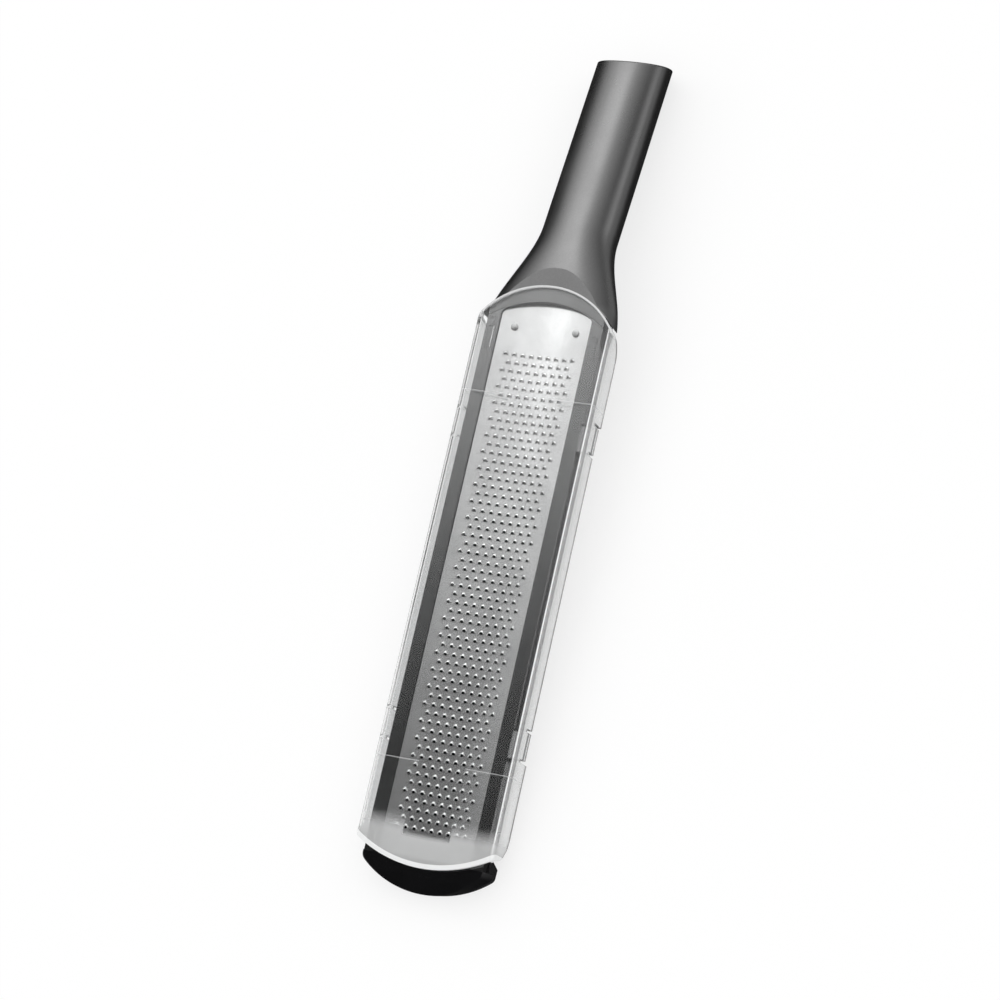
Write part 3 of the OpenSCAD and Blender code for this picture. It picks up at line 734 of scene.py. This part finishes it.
def makeCover():
    past = 2      # the long section reaches past both ends and is then cut to the plan
    length = cover["head"] + cover["toe"] + 2 * past
    section = [(x, -cover["toe"] - past, z) for x, z in coverSection()]
    shell = extruded("clearCover", section, (0, length, 0))
    keep(shell, prism("plan", coverPlan(0), cover["low"] - 5, cover["top"] + 5),
         bar("side", coverSide(), cover["width"] + 2))
    x = cover["width"] / 2
    slitHeights = (cover["midLow"], cover["midLow"] + cover["slitHeight"])
    noseHeights = (cover["noseTop"] - cover["nose"], cover["noseTop"])
    lineHeights = (cover["top"] - cover["lineHeight"], cover["top"] + cover["lineHeight"])
    extras = []
    for side in (-1, 1):
        for y in cover["tabs"]:
            for end in (-1, 1):
                middle = y + end * (cover["tab"] - cover["slit"]) / 2
                carve(shell, sideBlock("slit", side, (x - cover["slitDepth"], x + 1), middle,
                                       cover["slit"], slitHeights))
            extras.append(sideBlock("nose", side, (cover["noseReach"], x - cover["wall"] / 2), y,
                                    cover["tab"] - 2 * cover["slit"], noseHeights))
        for y in cover["pads"]:
            extras.append(sideBlock("pad", side, cover["padSpan"], y, cover["padLength"],
                                    cover["padHeights"]))
    for y in cover["lines"]:
        for side in (-1, 1):
            extras.append(sideBlock("line", side, (cover["lineFrom"], x - cover["edge"]), y,
                                    cover["line"], lineHeights))
    for extra in extras:
        join(shell, extra)
    soften(shell, cover["round"], 2, 50)
    return finish(shell, "cover", clearPlastic("coverClear", coverLook), ["clear_cover"],
                  evenFlats=True)


makeCover()
print("cover made")


# Handle

handle = {"width": 28.7, "thick": 21.2, "length": 111.2, "slant": 28.0, "bend": 12.7, "wall": 1.8,
          "neck": 50.4, "shoulder": 10.0, "flare": 32.5, "belly": 24.0, "neckLow": 4.4, "drop": 5.25,
          "rim": 0.8, "seam": 20.8, "seamRadius": 36.5, "shoulderGap": 0.3, "frontWall": 4.0,
          "powerGrip": 2.3, "powerRails": 8.0, "sides": 128, "step": 1.6, "hidden": 0.6}
rails = {"width": 44.4, "top": 2.6, "low": -2.8, "window": 1.2, "round": 0.18}
headLength = (handle["seam"] - rails["window"]) / math.cos(math.radians(handle["bend"]))
headLow = headLength * math.sin(math.radians(handle["bend"])) - handle["drop"] - rails["low"]
slant = math.tan(math.radians(handle["slant"]))
slantReach = slant * handle["thick"] / 2


def lowHalf(u):      # depth of the handle below its axis
    if u < 0:
        return handle["neckLow"] + (headLow - handle["neckLow"]) * smooth(-u / headLength)
    return handle["neckLow"] + (handle["thick"] / 2 - handle["neckLow"]) * smooth(u / handle["belly"])


def onHandle(x, u, z):
    bend = math.radians(handle["bend"])
    return (x, handle["seam"] + u * math.cos(bend) + z * math.sin(bend),
            -handle["drop"] - u * math.sin(bend) + z * math.cos(bend))


def handleRing(u, inset=0.0, lean=0.0):
    narrowing = smooth((u + handle["shoulder"]) / (handle["flare"] + handle["shoulder"]))
    width = handle["neck"] / 2 + (handle["width"] - handle["neck"]) / 2 * narrowing
    power = handle["powerGrip"] + (handle["powerRails"] - handle["powerGrip"]) * smooth(-u / headLength)
    ring = []
    for i in range(handle["sides"]):
        angle = 2 * math.pi * i / handle["sides"]
        c, s = math.cos(angle), math.sin(angle)
        x = (width - inset) * math.copysign(abs(c) ** (2 / power), c)
        half = handle["thick"] / 2 if s > 0 else lowHalf(u)
        z = (half - inset) * math.copysign(abs(s) ** (2 / power), s)
        ring.append(onHandle(x, u - lean * z, z))
    return ring


def handleStretch(name, start, end, inset):
    count = max(2, round((end - start) / handle["step"]))
    return loft(name, [handleRing(start + (end - start) * i / count, inset) for i in range(count + 1)])


def seamColumn(name, radius):
    return prism(name, circlePoints(0, handle["seam"] - handle["seamRadius"], radius, 240), -60, 60)


def allAbove(name, z):      # the room above a level, past the handle's sides and end
    return block(name, (-40, -40, z), (40, 160, 60))


def makeHandle():
    rim = handle["rim"]
    start, end = -handle["hidden"] * headLength, handle["length"] - rim - slantReach - 1
    count = round((end - start) / handle["step"])
    rings = [handleRing(start + (end - start) * i / count) for i in range(count + 1)]
    for turn in quarterTurn(6):
        u = handle["length"] - rim + rim * math.sin(turn)
        rings.append(handleRing(u, rim * (1 - math.cos(turn)), slant))
    shell = loft("handleShell", rings)
    # Outside the frame's sides the neck makes room for the cover's head end
    room = prism("room", coverPlan(handle["shoulderGap"]), -60, cover["top"])
    carve(room, block("between", (-rails["width"] / 2, -300, -70), (rails["width"] / 2, 300, 70)))
    carve(shell, allAbove("top", rails["top"]), seamColumn("column", handle["seamRadius"]), room)
    bore = handleStretch("bore", handle["frontWall"], handle["length"] + slantReach + 1, handle["wall"])
    carve(bore, allAbove("boreTop", rails["top"] - handle["wall"]))
    carve(shell, bore)
    for u in neckScrew["places"]:      # open ways for the screw heads, from below
        radius = neckScrew["head"] + neckScrew["wayGap"]
        reach = neckScrew["wayBelow"] + handle["wall"] / 2 + neckScrew["headHeight"]
        way = turnedBody("way", [(0, 0), (radius, 0), (radius, reach), (0, reach)], 48)
        for corner in way.data.vertices:
            z = corner.co.z - lowHalf(u) - neckScrew["wayBelow"]
            corner.co = onHandle(corner.co.x, u + corner.co.y, z)
        carve(shell, way)
    return finish(shell, "tool", handleCoat, ["handle_shell"], smooth=32,
                  flatTop=rails["top"], evenFlats=True)


plug = {"sink": 0.4, "length": 12.0, "gap": 0.1, "seal": 2.0, "sealThick": 1.2, "round": 0.4,
        "dish": 3.2, "dishDeep": 0.9}


def makePlug():      # closes the slanted end, with a shallow dish in its face
    inset = handle["wall"] + plug["gap"]
    face = handle["length"] - plug["sink"]
    back = face - slantReach - plug["length"]
    sealAt = back + plug["length"] / 2
    groove = handle["wall"] + plug["sealThick"]
    low, high = sealAt - plug["seal"] / 2, sealAt + plug["seal"] / 2
    rings = [handleRing(u, depth) for u, depth in
             ((back, inset), (low, inset), (low, groove), (high, groove), (high, inset))]
    for turn in quarterTurn(4):
        rings.append(handleRing(face - plug["round"] * (1 - math.sin(turn)),
                                inset + plug["round"] * (1 - math.cos(turn)), slant))
    for turn in quarterTurn(4):
        rings.append(handleRing(face - plug["dishDeep"] * (1 - math.cos(turn)),
                                inset + plug["dish"] + plug["dishDeep"] * math.sin(turn), slant))
    piece = loft("endPlug", rings)
    return finish(piece, "tool", plugPlastic, ["end_plug"], smooth=40)


neckScrew = {"places": (12.0, 21.0), "shank": 1.5, "head": 2.7, "headHeight": 1.6, "top": 1.9,
             "edge": 0.25, "socket": 1.45, "socketDeep": 1.1, "wayGap": 0.1, "wayBelow": 1.0}


def makeNeckScrews():      # seen from below, each in its own way through the neck
    pieces = []
    for u in neckScrew["places"]:
        foot = -lowHalf(u) + handle["wall"] / 2
        r, e = neckScrew["head"], neckScrew["edge"]
        rounding = [(r - e + e * math.sin(turn), e - e * math.cos(turn)) for turn in quarterTurn(3)]
        profile = ([(0, 0)] + rounding + [(r, neckScrew["headHeight"]),
                   (neckScrew["shank"], neckScrew["headHeight"]),
                   (neckScrew["shank"], neckScrew["top"] - foot), (0, neckScrew["top"] - foot)])
        screw = turnedBody("neckScrews", profile)
        hexagon = arcPoints(0, 0, neckScrew["socket"], 0, 300, 5)
        carve(screw, prism("socket", hexagon, -1, neckScrew["socketDeep"]))
        for corner in screw.data.vertices:
            corner.co = onHandle(corner.co.x, u + corner.co.y, foot + corner.co.z)
        pieces.append(screw)
    join(pieces[0], *pieces[1:])
    return finish(pieces[0], "tool", screwSteel, ["neck_screws"], smooth=35)


makeHandle()
makePlug()
makeNeckScrews()
print("handle made")


# Toe cap and foot

toe = {"seam": 184.808, "tip": 196.108, "width": 47.5, "frontRadius": 34.7, "corner": 3.3, "slope": 5.0,
       "slopeDrop": 4.6, "footBack": 5.3, "round": 0.5, "topWide": 0.945, "footWide": 1.04,
       "footHeight": 6.9, "footInset": 1.0, "skirt": 2.5, "footRound": 0.4}


def toePlan(back, inset=0.0):
    half = toe["width"] / 2 - inset
    front = turned(roundEnd(2 * half, toe["tip"] - inset, toe["frontRadius"] - inset, toe["corner"] - inset))
    return front + [(half, back), (-half, back)]


def makeToeCap():
    cap = prism("toeCap", toePlan(-toe["seam"]), rails["low"], rails["top"])
    s, d, tip = toe["slope"], toe["slopeDrop"], toe["tip"]
    carve(cap, bar("nose", [(2 * s - tip, rails["top"] + d), (-s - tip, rails["top"] + d),
                            (-s - tip, rails["top"] - 2 * d)], toe["width"] + 4))
    for corner in cap.data.vertices:      # the sides lean in towards the top
        rise = (corner.co.z - rails["low"]) / (rails["top"] - rails["low"])
        corner.co.x *= toe["footWide"] + (toe["topWide"] - toe["footWide"]) * rise
    soften(cap, toe["round"], 4, 30)
    return finish(cap, "tool", toeGloss, ["toe_cap"], evenFlats=True)


makeToeCap()


def copyOf(node, name):      # a CAD node's mesh, merged, back in the blade's frame
    piece = newObject(name, frame["nodes"][node].data.copy())
    piece.data.transform(layDown.inverted())
    weldMesh(piece)
    return piece


def makeFoot():      # the grooves underneath end inside a smooth skirt
    foot = copyOf("toe_foot", "toeFoot")
    back, front = toe["footBack"] / 2 - toe["seam"], -toe["tip"]
    low = rails["low"] - toe["footHeight"]
    rise = (back - front - toe["footInset"]) * math.tan(tilt)
    skirt = prism("skirt", toePlan(back, toe["footInset"]), 2 * low, rails["low"])
    carve(skirt, prism("hollow", toePlan(back + 1, toe["footInset"] + toe["skirt"]), 3 * low, 1))
    keep(skirt, bar("ground", [(back, rails["low"]), (front, rails["low"]),
                               (front, low + toe["footInset"] * math.tan(tilt)), (back, low - rise)],
                    2 * toe["width"]))
    join(foot, skirt)
    soften(foot, toe["footRound"], 3, 30)
    return finish(foot, "tool", footRubber, ["toe_foot"])


def makeFrame():
    body = copyOf("frame", "railFrame")
    soften(body, rails["round"], 2, 40)
    return finish(body, "tool", frameCoat, ["frame"], evenFlats=True)


makeFoot()
makeFrame()
print("toe and frame made")

hidden = {"toe_screws": screwSteel, "handle_core": corePlastic, "plug_seal": sealRubber}
for node, hiddenLook in hidden.items():      # these stay as the CAD has them
    mesh = frame["nodes"][node].data
    mesh.materials.clear()
    mesh.materials.append(hiddenLook)


# Studio

# What gloss sees: level by how far a direction leans towards the handle, and by side
# where it looks at the grip
studio = {"floor": 0.95, "floorRadius": 6.0, "fibreScale": 60.0, "fibreTone": 0.01, "fill": 1.0,
          "boxLevel": 1.6, "gripLevel": 2.1, "farEdge": 0.28, "nearEdge": 0.36,
          "lowFrom": 0.62, "lowFull": 0.45, "lowBack": -0.5, "lowAhead": -0.2,
          "leftFrom": -0.45, "leftFull": -0.62, "leftGain": 1.1, "gainFrom": 0.16, "gainEnd": 0.25,
          "rising": ((0.0, 0.035), (0.11, 0.037), (0.129, 0.045), (0.16, 0.085), (0.191, 0.17),
                     (0.232, 0.38), (0.263, 0.70), (0.284, 0.88), (0.295, 0.9), (0.325, 0.58), (0.42, 0.65),
                     (0.5, 1.0)),
          "sideways": ((-0.8, 0.05), (-0.68, 0.33), (-0.56, 0.53), (-0.43, 0.57), (-0.34, 0.8),
                       (-0.27, 1.0), (-0.17, 0.88), (-0.06, 0.58), (0.12, 0.42), (0.26, 0.32),
                       (0.46, 0.22), (0.64, 0.09), (0.74, 0.28), (0.82, 0.5)),
          "floorLeft": 0.04, "floorRight": 0.45, "paleFrom": 0.028, "paleFull": 0.055,
          "glowNear": 0.72, "glowFar": 0.95, "glowFull": 0.04, "toolHalf": (0.022, 0.155),
          "below": (-0.0238, 0.0125, 0.0025), "belowTurn": 0.0371, "belowToe": 0.005, "belowHead": 0.28,
          "belowFrom": -0.025, "belowTo": 0.03, "throughCover": 0.97,
          "lampSize": (0.9, 0.7), "lampPower": 1.2, "lampPlace": (-0.45, 0.75, 1.15)}


def ramp(tree, value, stops):
    node = addNode(tree, "ShaderNodeValToRGB", {"Fac": value})
    elements = node.color_ramp.elements
    elements[0].position, elements[1].position = stops[0][0], stops[-1][0]
    elements[0].color, elements[1].color = grey(stops[0][1]), grey(stops[-1][1])
    for place, level in stops[1:-1]:
        elements.new(place).color = grey(level)
    return node.outputs["Color"]


def makeFloor():
    bm = bmesh.new()
    bmesh.ops.create_circle(bm, cap_ends=True, segments=96, radius=studio["floorRadius"])
    floor = fromBmesh("studioFloor", bm)
    made, tree = material("floorPaper")
    place = addNode(tree, "ShaderNodeTexCoord").outputs["Object"]
    fibre = noise(tree, place, studio["fibreScale"])
    tone = blendColours(tree, fibre, grey(studio["floor"] - studio["fibreTone"]),
                        grey(studio["floor"] + studio["fibreTone"]))
    paper = addNode(tree, "ShaderNodeBsdfPrincipled", {
        "Base Color": tone, "Roughness": 0.9, "Specular IOR Level": 0.2}).outputs[0]
    axes = addNode(tree, "ShaderNodeSeparateXYZ", {"Vector": place}).outputs
    path = addNode(tree, "ShaderNodeLightPath").outputs
    # Away from the tool the paper glows white, so that the shadow stays close to it
    past = [sums(tree, "MAXIMUM", sums(tree, "SUBTRACT", sums(tree, "ABSOLUTE", axes[i]), half), 0.0)
            for i, half in enumerate(studio["toolHalf"])]
    away = sums(tree, "SQRT", sums(tree, "ADD", sums(tree, "MULTIPLY", past[0], past[0]),
                                   sums(tree, "MULTIPLY", past[1], past[1])))
    direct = sums(tree, "MULTIPLY", path["Is Camera Ray"],
                  fade(tree, away, 0.0, studio["glowFull"], studio["glowNear"], studio["glowFar"]))
    shown = mixShaders(tree, direct, paper, glow(tree, 1.0))
    # Through the clear cover the paper glows white beside the tool, with a painted shadow under the blade,
    # darker towards the toe
    left, right, edge = studio["below"]
    across = sums(tree, "ADD", axes["X"], sums(tree, "MULTIPLY", axes["Y"], studio["belowTurn"]))
    beside = sums(tree, "MAXIMUM", sums(tree, "SUBTRACT", left, across),
                  sums(tree, "SUBTRACT", across, right))
    beside = sums(tree, "MAXIMUM", beside, past[1])
    paintedShadow = fade(tree, axes["Y"], studio["belowFrom"], studio["belowTo"],
                studio["belowToe"], studio["belowHead"])
    lit = between(tree, fade(tree, beside, 0.0, edge), paintedShadow, studio["throughCover"])
    shown = mixShaders(tree, path["Is Transmission Ray"], shown, glow(tree, lit))
    seen = sums(tree, "MAXIMUM", path["Is Camera Ray"], path["Is Transmission Ray"])
    # Gloss sees a dim surround on the left and a paler one on the right
    level = fade(tree, axes["X"], studio["paleFrom"], studio["paleFull"],
                 studio["floorLeft"], studio["floorRight"])
    inGloss = sums(tree, "MULTIPLY", path["Is Glossy Ray"], sums(tree, "SUBTRACT", 1.0, seen))
    output(tree, mixShaders(tree, inGloss, shown, glow(tree, level)))
    floor.data.materials.append(made)


def makeWorld():
    world = bpy.data.worlds.new("studio")
    scene.world = world
    world.use_nodes = True
    world.cycles.sampling_method = "NONE"
    tree = world.node_tree
    tree.nodes.clear()
    way = addNode(tree, "ShaderNodeTexCoord").outputs["Generated"]
    axes = addNode(tree, "ShaderNodeSeparateXYZ", {"Vector": way}).outputs
    lean = addNode(tree, "ShaderNodeVectorMath", {0: way, 1: (0, math.cos(tilt), math.sin(tilt))},
                   operation="DOT_PRODUCT").outputs["Value"]
    rising = sums(tree, "MULTIPLY", ramp(tree, lean, studio["rising"]), studio["boxLevel"])
    gain = sums(tree, "MULTIPLY", fade(tree, axes["X"], studio["leftFrom"], studio["leftFull"]),
                fade(tree, lean, studio["gainEnd"], studio["gainFrom"], 0.0, studio["leftGain"]))
    rising = sums(tree, "MULTIPLY", rising, sums(tree, "ADD", gain, 1.0))
    # The teeth's sides see the bright walls round the table
    low = sums(tree, "MULTIPLY", fade(tree, axes["Z"], studio["lowFrom"], studio["lowFull"]),
               fade(tree, axes["Y"], studio["lowBack"], studio["lowAhead"]))
    rising = between(tree, low, rising, studio["boxLevel"])
    # A ramp runs from 0 to 1, and X from -1 to 1
    half = sums(tree, "MULTIPLY", sums(tree, "ADD", axes["X"], 1.0), 0.5)
    stops = [((x + 1) / 2, level) for x, level in studio["sideways"]]
    sideways = sums(tree, "MULTIPLY", ramp(tree, half, stops), studio["gripLevel"])
    towards = fade(tree, axes["Y"], studio["farEdge"], studio["nearEdge"])
    boxes = between(tree, towards, rising, sideways)
    # Gloss shows the soft boxes, and all else an even white surround
    path = addNode(tree, "ShaderNodeLightPath").outputs
    gloss = sums(tree, "MULTIPLY", sums(tree, "GREATER_THAN", path["Glossy Depth"], 0.5),
                 sums(tree, "LESS_THAN", path["Diffuse Depth"], 0.5))
    strength = between(tree, gloss, studio["fill"], boxes)
    background = addNode(tree, "ShaderNodeBackground", {"Color": grey(1.0), "Strength": strength})
    addNode(tree, "ShaderNodeOutputWorld", {"Surface": background.outputs[0]})


def makeLamp():
    lamp = bpy.data.lights.new("softBox", "AREA")
    lamp.shape = "RECTANGLE"
    lamp.size, lamp.size_y = studio["lampSize"]
    lamp.energy = studio["lampPower"]
    lampObject = bpy.data.objects.new("softBox", lamp)
    scene.collection.objects.link(lampObject)
    lampObject.location = studio["lampPlace"]
    lampObject.rotation_euler = (-lampObject.location).to_track_quat("-Z", "Y").to_euler()


def makeCamera():
    shot = {"place": (339.10, -269.16, 879.34), "aim": (-2.87, -53.92, 0.0), "roll": -47.33, "lens": 97.72}
    data = bpy.data.cameras.new("photoView")
    data.lens = shot["lens"]
    data.sensor_width = 36.0
    data.clip_start = 0.05
    camera = bpy.data.objects.new("photoView", data)
    scene.collection.objects.link(camera)
    forward = (Vector(shot["aim"]) - Vector(shot["place"])).normalized()
    levelRight = forward.cross(Vector((0, 0, 1))).normalized()
    levelUp = levelRight.cross(forward)
    turn = math.radians(shot["roll"])
    right = levelRight * math.cos(turn) + levelUp * math.sin(turn)
    up = right.cross(forward)
    rotation = Matrix((right, up, -forward)).transposed()
    laid = layDown.to_3x3().normalized() @ rotation
    camera.matrix_world = Matrix.Translation(layDown @ Vector(shot["place"])) @ laid.to_4x4()
    scene.camera = camera


makeFloor()
makeWorld()
makeLamp()
makeCamera()
scene.view_settings.view_transform = "Standard"
print("studio made")
